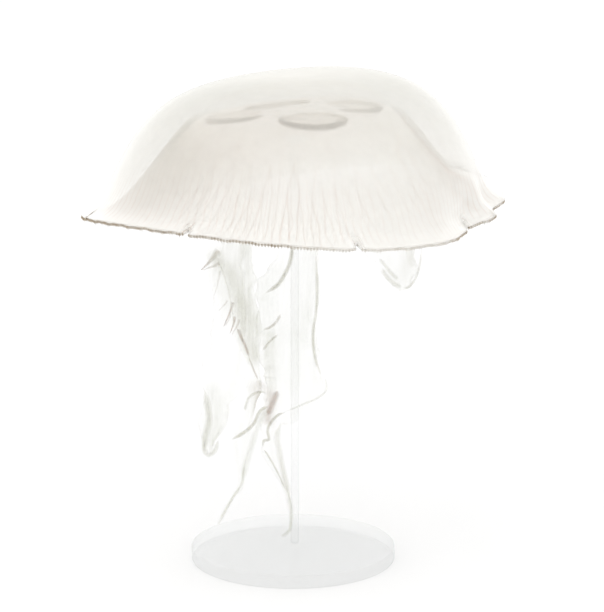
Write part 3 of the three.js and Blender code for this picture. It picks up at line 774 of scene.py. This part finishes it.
# parts: names of its lengths; turn: of its surface, in degrees; waves, ruffle: of its edges;
# cover: how much it hides from root to tip; rim: the same for its edges;
# soft: share of its width where the sheet starts to fade, and how much it fades at the edge;
# path: middle line x, y, z, spread to the left and right, depth of fold;
# bands, thicker stripes, and cords that stand out: points (x, z), half width or width, shade, cover;
# spikes along its left edge: root (x, z), tip (x, z), width, shade, cover.
ARMS = {
    "oral_arm_front_left": dict(
        parts=("upper", "middle", "lower", "tail"), turn=25, waves=7, ruffle=2.2,
        cover=(0.12, 0.16, 0.16, 0.13, 0.08, 0.07, 0.12, 0.16), rim=0.012, soft=(0.5, 0.9),
        path=[
            (-7, -15, 258, 5, 5, 2), (-11, -17, 248, 6, 6, 4), (-24, -25, 227, 9, 9, 6),
            (-32, -29, 196, 14, 14, 9), (-34.5, -29, 184, 17.5, 16, 9), (-31, -28, 165, 12.5, 15, 8),
            (-27, -26, 147, 7, 11.5, 6), (-24.5, -24, 134, 4, 7, 3), (-22, -24, 121, 3.3, 4, 2),
            (-22, -25, 109, 5.5, 4, 3), (-27, -24, 90, 8.2, 6, 5), (-29.5, -20, 77, 7.7, 7.7, 4),
            (-30.2, -17, 61.5, 3.3, 2.8, 2), (-31, -16, 50.5, 1.6, 1.6, 0.4), (-36, -14, 42, 1.4, 1.4, 0.3),
            (-41, -12, 32.5, 1.2, 1.2, 0.2), (-45, -9, 23.5, 0.9, 0.9, 0.1),
        ],
        bands=[
            ([(-45, 192), (-36, 181.5), (-31.5, 166), (-28, 154), (-26, 142), (-24, 131)], 4.6, 0.12, 0.14),
            ([(-24, 194), (-21, 178), (-20, 162), (-21, 150)], 5, 0.05, 0.04),
            ([(-22, 112), (-20, 106), (-19, 99)], 4.5, 0.4, 0.12),
        ],
        cords=[
            ([(-46, 196), (-41, 184), (-37.5, 172), (-35.4, 158.2), (-34, 148.5)], 0.9, 0.15, 0.08),
            ([(-33.5, 150), (-30.5, 143), (-28.1, 138), (-25.5, 130)], 1.4, 0.9, 0.28),
            ([(-26, 131), (-23.5, 124), (-20.6, 117.1)], 0.9, 0.6, 0.28),
            ([(-22, 118), (-17.2, 111.6), (-15.4, 107), (-17.2, 101)], 4, 0.5, 0.1),
            ([(-14, 99), (-19.6, 96.5), (-23.2, 89.5), (-29.1, 84.6), (-37.5, 79)], 1.8, 0.2, 0.34),
            ([(-28.5, 98), (-27.9, 101.6), (-25.5, 107.2), (-20.5, 109.5), (-14.8, 107)], 1.5, 0.15, 0.2),
            ([(-14.5, 97), (-19, 92), (-24, 76), (-28.2, 62), (-30, 52)], 3.4, 0.05, 0.12),
            ([(-28, 66), (-30, 57), (-31, 50.5), (-36, 42), (-41, 32.5), (-45, 23.5)], 1.3, 0.1, 0.15),
        ],
        spikes=[
            ((-45, 194.5), (-53.5, 184.6), 1.9, 0.7, 0.34), ((-44.5, 187.6), (-52.6, 184.4), 1.2, 0.5, 0.26),
            ((-44, 183), (-47.2, 166), 0.6, 0.5, 0.16), ((-40, 165), (-43.6, 159.5), 0.7, 0.6, 0.22),
            ((-36.6, 164), (-40.8, 150), 1, 1, 0.36), ((-38.2, 156), (-40, 150.4), 0.7, 0.6, 0.24),
            ((-35.6, 155), (-37.2, 145.4), 0.9, 1, 0.34), ((-33, 153.5), (-35.8, 145), 0.8, 0.8, 0.26),
            ((-33, 147), (-29.6, 138.5), 0.7, 0.6, 0.2),
        ],
    ),
    "oral_arm_back_right": dict(
        parts=("upper", "middle", "lower", "tail"), turn=-25, waves=6, ruffle=2,
        cover=(0.07, 0.08, 0.08, 0.07, 0.07, 0.07, 0.1, 0.14), rim=0.02, soft=(0.8, 0.5),
        path=[
            (9, 15, 258, 4.5, 4.5, -2), (14, 13, 244, 5, 6, -3), (15, 0, 217, 6, 8, -3),
            (7.5, -12, 192, 12, 9, -3), (4, -14, 171.5, 25, 15, -5), (0.5, -14, 149, 23, 18, -6),
            (0, -13, 131.5, 19.5, 18.5, -6), (1, -12, 113, 18, 21, -5), (-3, -10.5, 101, 14.5, 16.5, -4),
            (-11.5, -9, 89.5, 7, 6.5, -3), (-13.5, -8, 77.5, 5, 5, -2), (-12.5, -7, 67.2, 5.2, 4.8, -2),
            (-7.3, -6, 51.5, 1.9, 2.2, -0.6), (-3.7, -5, 41.4, 1.3, 1.8, -0.3),
            (-1.2, -6, 29.2, 1.1, 1.1, 0.2), (-2, -8, 19.4, 0.9, 0.9, 0.1), (-6.7, -10, 16, 0.8, 0.8, 0.1),
        ],
        bands=[
            ([(10, 205), (9, 180), (6, 160), (4, 140)], 6, 0.1, 0.03),
            ([(-8, 178), (-11, 165), (-12, 150), (-12, 130)], 5, 0.05, 0.03),
            ([(-14, 140), (-15, 132), (-14.5, 122), (-14, 110)], 4, 0.1, 0.11),
            ([(-12, 104), (-14, 96), (-15, 88)], 3, 0.7, 0.16),
            ([(-17, 186), (-18.5, 172), (-19, 158), (-19.5, 146)], 6, 0, 0.05),
            ([(-3, 142), (-2, 130), (-2, 116)], 9, 0, 0.03),
        ],
        cords=[
            ([(0.1, 197), (-1.1, 188.1), (-3.5, 180.8), (-8.9, 171.7), (-17.2, 165.6)], 2, 0.2, 0.34),
            ([(-7.1, 154.5), (-9.6, 149.7), (-13.3, 146), (-18.2, 144)], 1.4, 0.35, 0.26),
            ([(-8.8, 141.6), (-13.5, 137.4), (-18.3, 131.3)], 1.2, 0.35, 0.24),
            ([(13.2, 196), (14.3, 172.8), (13.7, 158.2), (11.9, 144.2), (13.2, 130.1), (17.3, 118.4)],
             1.6, 0.15, 0.26),
            ([(-9, 107), (-11, 101.5), (-13.4, 95.5), (-15.4, 91)], 3, 1, 0.24),
            ([(-4, 94.5), (-9, 91.8), (-13.3, 86.8), (-15.2, 81.9), (-14.6, 76), (-17.6, 75), (-18.3, 70)],
             1.5, 0.2, 0.32),
            ([(-18.3, 70.5), (-13.9, 63.5), (-8.5, 53), (-4.3, 42.6)], 1, 0.15, 0.24),
            ([(-7, 90), (-9.2, 78.3), (-7.9, 69.6), (-6.6, 60.8), (-4, 48.2), (-1.6, 36)], 2.8, 0.1, 0.15),
            ([(-3.7, 44), (-1.6, 34), (-1.2, 27), (-2.2, 19.5), (-6.7, 16)], 1.4, 0.1, 0.15),
            ([(18, 122), (20, 112), (15, 106), (5, 100), (-6, 94)], 1.2, 0.1, 0.12),
        ],
    ),
    "oral_arm_back_left": dict(
        parts=("upper", "middle", "lower"), turn=-32, waves=5, ruffle=2.2,
        cover=(0.06, 0.06, 0.05, 0.06, 0.09, 0.1), rim=0.03, soft=(0.7, 0.7),
        path=[
            (-14, 8, 258, 4.5, 4.5, -2), (-17, 12, 247, 5.5, 5.5, -3), (-26, 20, 222, 8, 8, -4),
            (-33, 24, 190, 8.6, 8.6, -6), (-35, 25, 155, 10, 10, -7), (-37, 25, 129, 12, 14, -7),
            (-42, 23, 106, 12, 17, -7), (-47.2, 22, 89, 7.5, 13, -5), (-50, 22, 70.5, 5.5, 6, -3),
            (-52.5, 23, 59.7, 2.4, 2.4, -1),
        ],
        bands=[([(-50, 98), (-49, 88), (-49, 78), (-50, 68)], 5, 0.05, 0.06)],
        cords=[
            ([(-54.5, 99), (-52.7, 90), (-51.7, 79.9), (-54.2, 68.5), (-54.9, 60)], 3.4, 0.15, 0.2),
            ([(-54.4, 68), (-54.9, 61), (-52.4, 57.8), (-49.2, 60), (-47.2, 64), (-45.6, 70)],
             2.6, 0.15, 0.18),
        ],
    ),
    "oral_arm_front_right": dict(
        parts=("upper", "lower"), turn=24, waves=4, ruffle=2,
        cover=(0.06, 0.08, 0.1, 0.12), rim=0.03, soft=(0.7, 0.7),
        path=[
            (16, -8, 258, 4.5, 4.5, 2), (21, -12, 249, 6, 6, 3), (33, -20, 235, 9, 9, 5),
            (48, -27, 219, 12, 14, 7), (58, -30, 202, 14, 19.5, 8), (62.5, -31, 187, 11, 14.5, 6),
            (66, -31, 173.5, 3.4, 4, 1),
        ],
        bands=[([(72, 196), (66, 184), (60, 178)], 5, 0.2, 0.04)],
        cords=[
            ([(75.9, 196), (74.3, 184.7), (71.5, 178), (67.5, 174.4), (64, 174.6)], 1.4, 0.15, 0.18),
            ([(64.5, 174.6), (59, 177), (55, 181), (51.5, 187)], 2.2, 0.1, 0.16),
            ([(62.5, 179), (58, 182.6), (53.5, 188), (50, 192)], 1.8, 0.1, 0.15),
        ],
    ),
}
ARM_ROOT = (1, 2.4)  # stations between which an arm comes out of the clear jelly
SPREAD_LEFT, SPREAD_RIGHT, FOLD = 3, 4, 5  # columns of the path


class Arm:
    """The surface of one oral arm: s runs down its length and q from its left edge to its right."""

    spikes = ()

    def __init__(self, name, seed):
        vars(self).update(ARMS[name])
        self.stations = np.array(self.path, float)
        self.last = len(self.stations) - 1
        steps = np.linalg.norm(np.diff(self.stations[:, :3], axis=0), axis=1)
        self.lengths = np.append(0, np.cumsum(steps))
        self.random = np.random.default_rng(seed)
        self.phases = self.random.uniform(0, 2 * math.pi, 8)

    def frame_at(self, s):
        """Middle of the arm at s, and the directions across it and to its back."""
        middle = self.stations[:, :3]
        ahead = spline(middle, s + 0.02, True) - spline(middle, s - 0.02, True)
        ahead /= np.linalg.norm(ahead, axis=-1, keepdims=True)
        turn = math.radians(self.turn)
        span = np.array([math.cos(turn), math.sin(turn), 0])
        across = span - ahead * (ahead @ span)[..., None]
        across /= np.linalg.norm(across, axis=-1, keepdims=True)
        return spline(middle, s, True), across, np.cross(across, ahead)

    def between(self, s, column):
        """One column of the path, read between its stations."""
        low = np.clip(s.astype(int), 0, self.last - 1)
        return lerp(self.stations[low, column], self.stations[low + 1, column], np.clip(s - low, 0, 1))

    def at(self, s, q, side=0):
        """Points for arrays s and q; side moves along the surface's thickness."""
        s = np.asarray(s, float)
        q = np.asarray(q, float)
        centre, across, back = self.frame_at(s)
        left, right, fold = (self.between(s, column) for column in (SPREAD_LEFT, SPREAD_RIGHT, FOLD))
        size = np.minimum(1, (left + right) / 16)
        length = np.interp(s, np.arange(self.last + 1), self.lengths)
        edge = smoothstep(np.abs(q), 0.35, 1)
        offset = np.where(q < 0, self.phases[0], self.phases[1])
        slow = np.sin(s / self.last * self.waves * 2 * math.pi) * self.ruffle * size * q
        frill = edge * size * (
            1.3 * np.sin(length / 3.4 + offset + 1.3 * np.sin(length / 11 + self.phases[2]))
            + 0.5 * np.sin(length / 1.5 + offset * 2 + self.phases[3]))
        depth = fold * q * q + slow + frill + side
        wave = 0.05 * np.sin(length / 4.3 + offset * 1.7) + 0.02 * np.sin(length / 1.7 + offset)
        reach = q * np.where(q < 0, left, right) * (1 + edge * wave)
        return centre + across * reach[..., None] + back * depth[..., None]

    def touch(self, x, z):
        """Points of the arm's front surface that show at x and z, seen from the front."""
        s = np.linspace(0, self.last, 600)
        here = np.interp(-z, -self.frame_at(s)[0][:, 2], s)
        centre, across, back = self.frame_at(here)
        reach = (x - centre[:, 0]) / across[:, 0]
        half = self.between(here, np.where(reach < 0, SPREAD_LEFT, SPREAD_RIGHT))
        q = np.clip(reach / half, -1, 1)
        points = centre + across * reach[:, None] + back * (self.between(here, FOLD) * q * q)[:, None]
        points[:, 0] = x
        points[:, 2] = z
        return points


def band_strength(points, band, half_width):
    """How strongly a band shows at each point, from the distance in x and z to its line."""
    line = spline(band, np.linspace(0, len(band) - 1, 8 * len(band)), True)
    flat = points[:, [0, 2]]
    nearest = np.min(np.linalg.norm(flat[:, None, :] - line, axis=2), axis=1)
    return np.exp(-((nearest / half_width) ** 2))


def add_arm_skin(parts, arm):
    rows = int(arm.lengths[-1] / 0.8)
    columns = 41
    s, q = np.meshgrid(np.linspace(0, arm.last, rows), np.linspace(-1, 1, columns), indexing="ij")
    thickness = lerp(1.3, 0.5, np.abs(q) ** 0.6) * np.clip(s * 2, 0.25, 1)
    front, back = (arm.at(s, q, side * thickness / 2).reshape(-1, 3) for side in (-1, 1))
    size = rows * columns
    faces = grid_faces(rows, columns) + grid_faces(rows, columns, start=size, flip=True)
    for row in range(rows - 1):
        a, b = row * columns, (row + 1) * columns
        faces.append([a, size + a, size + b, b])
        a, b = a + columns - 1, b + columns - 1
        faces.append([a, b, size + b, size + a])
    for column in range(columns - 1):
        a = (rows - 1) * columns + column
        faces.append([column, column + 1, size + column + 1, size + column])
        faces.append([a, size + a, size + a + 1, a + 1])
    streaks = 0.5 + 0.5 * np.sin(q * 9 + s * 1.7 + arm.phases[4])
    down = s / arm.last * (len(arm.cover) - 1)
    middle = np.interp(down, np.arange(len(arm.cover)), arm.cover)
    soft_from, softness = arm.soft
    inside = 1 - softness * smoothstep(np.abs(q), soft_from, 1)
    cover = 0.5 * (middle * (0.75 + 0.25 * streaks) * inside).ravel()
    shade = (0.05 + 0.1 * streaks).ravel()
    for band, half_width, band_shade, band_cover in arm.bands:
        strength = band_strength(front, band, half_width)
        cover += band_cover * strength
        shade = lerp(shade, band_shade, strength)
    cover *= lerp(0.15, 1, smoothstep(s, *ARM_ROOT)).ravel()
    parts.add(np.concatenate([front, back]), faces, np.tile(shade, 2), np.tile(cover, 2))


def add_arm_edges(parts, arm):
    """The thin rim along each edge, with its short feelers."""
    total = arm.lengths[-1]
    share = np.linspace(0, 1, 5)[:, None]
    for edge in (-1, 1):
        s = np.linspace(0.02, arm.last, int(total / 0.7))
        drift = 0.5 + 0.5 * np.sin(s * 1.9 + arm.phases[5] + edge)
        cover = arm.rim * lerp(0.5, 1.3, drift) * lerp(0.1, 1, smoothstep(s, *ARM_ROOT))
        add_soft_tube(parts, arm.at(s, edge * 0.99), lerp(0.5, 0.9, drift), 6, lerp(0.15, 0.4, drift), cover)
        for s_root in np.arange(0.15, arm.last, 2.2 * arm.last / total):
            root = arm.at(s_root, edge)
            out = root - arm.at(s_root, edge * 0.8)
            out /= np.linalg.norm(out) + 1e-9
            length = arm.random.uniform(0.5, 1.6)
            bend = 0.5 * arm.random.normal(0, 0.35, 3) + np.array([0, 0, -0.3])
            path = root + out * share * length + bend * share ** 2 * length
            add_tube(parts, path, lerp(0.2, 0.06, share[:, 0]), 4, 0.3, arm.rim * 0.8, up=(0, 1, 0))


def add_cords(parts, arm):
    for points, width, shade, cover in arm.cords:
        flat = spline(points, np.linspace(0, len(points) - 1, 14 * len(points)), True)
        share = np.linspace(0, 1, len(flat))
        ends = np.clip(np.sin(np.pi * share) * 2.2, 0.12, 1)
        add_soft_tube(parts, arm.touch(flat[:, 0], flat[:, 1]), width / 2 * ends, 8, shade, cover * ends)


def add_spikes(parts, arm):
    share = np.linspace(0, 1, 9)
    for root, tip, width, shade, cover in arm.spikes:
        x = lerp(root[0] + 1.5, tip[0], share) + 0.6 * np.sin(np.pi * share)
        z = lerp(root[1] + 1, tip[1], share)
        radius = width * (1 - 0.9 * share ** 0.8)
        add_soft_tube(parts, arm.touch(x, z), radius, 6, shade, lerp(0.5, 1, share) * cover)


def make_arm(name, seed, material):
    arm = Arm(name, seed)
    parts = Parts()
    for add in (add_arm_skin, add_arm_edges, add_cords, add_spikes):
        add(parts, arm)
    finish_piece(parts.build(name + "_skin"), material, "oral_arm", *[f"{name}_{part}" for part in arm.parts])


# ---- display stand

BASE_RADIUS = 62
BASE_HEIGHT = 8
ROD_RADIUS = 2.5
ROD_PLACE = (1, 2)
PAD_TOP = 258.2
PAD_HEIGHT = 2.5
PAD_RADIUS = 8
STAND_GAP = 0.3  # between its pieces
STAND_SHADE = 0.2


def lathe_piece(name, profile, centre, columns, cover):
    angles = np.linspace(0, 2 * math.pi, columns, endpoint=False)
    profile = np.array(profile, float)
    rings = np.stack([
        centre[0] + profile[:, :1] * np.cos(angles),
        centre[1] + profile[:, :1] * np.sin(angles),
        np.broadcast_to(profile[:, 1:], (len(profile), columns)),
    ], axis=-1)
    points = np.concatenate([rings.reshape(-1, 3), [(*centre, profile[0, 1]), (*centre, profile[-1, 1])]])
    faces = grid_faces(len(profile), columns, wrap=True, flip=True)
    last = (len(profile) - 1) * columns
    bottom, top = len(points) - 2, len(points) - 1
    for column in range(columns):
        after = (column + 1) % columns
        faces.append([bottom, after, column])
        faces.append([top, last + column, last + after])
    return make_mesh(name, points, faces, shade=STAND_SHADE, cover=cover)


def rounded(radius, low, high, bevel, steps=6):
    """Half outline of a disc from its underside to its top, with round edges."""
    turn = np.linspace(0, math.pi / 2, steps)
    lower = [(radius - bevel + bevel * math.sin(t), low + bevel - bevel * math.cos(t)) for t in turn]
    upper = [(radius - bevel + bevel * math.cos(t), high - bevel + bevel * math.sin(t)) for t in turn]
    return [(radius * 0.5, low)] + lower + upper + [(radius * 0.5, high)]


def make_stand(material):
    base = lathe_piece("base_disc", rounded(BASE_RADIUS, 0, BASE_HEIGHT, 0.9), (0, 0), 160, 0.1)
    pad_low = PAD_TOP - PAD_HEIGHT
    rod_outline = rounded(ROD_RADIUS, BASE_HEIGHT + STAND_GAP, pad_low - STAND_GAP, 0.3)
    rod = lathe_piece("clear_rod", rod_outline, ROD_PLACE, 32, 0.09)
    pad = lathe_piece("clear_pad", [
        (0.5, pad_low), (ROD_RADIUS + 1, pad_low), (PAD_RADIUS - 0.6, PAD_TOP - 1),
        (PAD_RADIUS, PAD_TOP - 0.6), (PAD_RADIUS - 0.2, PAD_TOP - 0.1),
        (PAD_RADIUS - 0.6, PAD_TOP), (0.5, PAD_TOP - 0.3),
    ], ROD_PLACE, 64, 0.09)
    for piece, node in ((base, "stand_base"), (rod, "stand_rod"), (pad, "stand_pad")):
        finish_piece(piece, material, "clear_acrylic", node)


# ---- stage, lights, camera

CAMERA_ELEVATION = math.radians(12.4)
CAMERA_DISTANCE = 1.5
CAMERA_TARGET = (0.0054, 0, 0.1566)
IMAGE_HEIGHT_PX = 612
SCALE_M_PER_PX = 0.598e-3
SENSOR = 36
FLOOR_TONES = (0.832, 0.838)
KEY_PLACE = (-0.5, -0.9, 1.4)
KEY_TARGET = (0, 0, 0.2)


def make_stage():
    bpy.ops.mesh.primitive_plane_add(size=40, location=(0, 8, 0))
    floor = bpy.context.object
    floor.name = "floor"
    n = Nodes("floor_white")
    low, high = ((tone, tone, tone, 1) for tone in FLOOR_TONES)
    n.surface(Base_Color=n.mix(n.noise(3, 2), low, high), Roughness=0.9, Specular_IOR_Level=0)
    floor.data.materials.append(n.material)


def make_lights():
    world = bpy.data.worlds.new("soft_white")
    world.use_nodes = True
    background = world.node_tree.nodes["Background"]
    background.inputs["Color"].default_value = (1, 1, 1, 1)
    background.inputs["Strength"].default_value = WHITE_LEVEL
    SCENE.world = world
    light = bpy.data.lights.new("key", "AREA")
    light.energy = 2
    light.size = 0.8
    lamp = bpy.data.objects.new("key", light)
    lamp.location = KEY_PLACE
    lamp.rotation_euler = (Vector(KEY_TARGET) - Vector(KEY_PLACE)).to_track_quat("-Z", "Y").to_euler()
    SCENE.collection.objects.link(lamp)
    SCENE.view_settings.view_transform = "Standard"
    SCENE.view_settings.look = "None"
    SCENE.cycles.transparent_max_bounces = 48


def make_camera():
    data = bpy.data.cameras.new("camera")
    data.sensor_fit = "VERTICAL"
    data.sensor_height = SENSOR
    data.lens = CAMERA_DISTANCE / SCALE_M_PER_PX / IMAGE_HEIGHT_PX * SENSOR
    data.clip_end = 100
    camera = bpy.data.objects.new("camera", data)
    target = Vector(CAMERA_TARGET)
    away = Vector((0, -math.cos(CAMERA_ELEVATION), math.sin(CAMERA_ELEVATION)))
    camera.location = target + away * CAMERA_DISTANCE
    camera.rotation_euler = (-away).to_track_quat("-Z", "Y").to_euler()
    SCENE.collection.objects.link(camera)
    SCENE.camera = camera


# ---- the model

def make_model():
    jelly = jelly_material()
    make_bell(jelly)
    make_stomach(jelly)
    make_muscle(muscle_material())
    make_canals(plain_material("canal"))
    gonad = gonad_material()
    for index in range(GONAD_COUNT):
        make_gonad(index, gonad)
    arm = arm_material()
    make_manubrium(arm)
    organ = plain_material("sense_organ")
    tentacle = plain_material("tentacle")
    for index in range(LOBE_COUNT):
        make_rhopalium(index, organ)
        make_tentacles(index, tentacle)
    for seed, name in enumerate(ARMS):
        make_arm(name, seed + 11, arm)
    make_stand(plain_material("clear_acrylic"))


make_model()
make_stage()
make_lights()
make_camera()
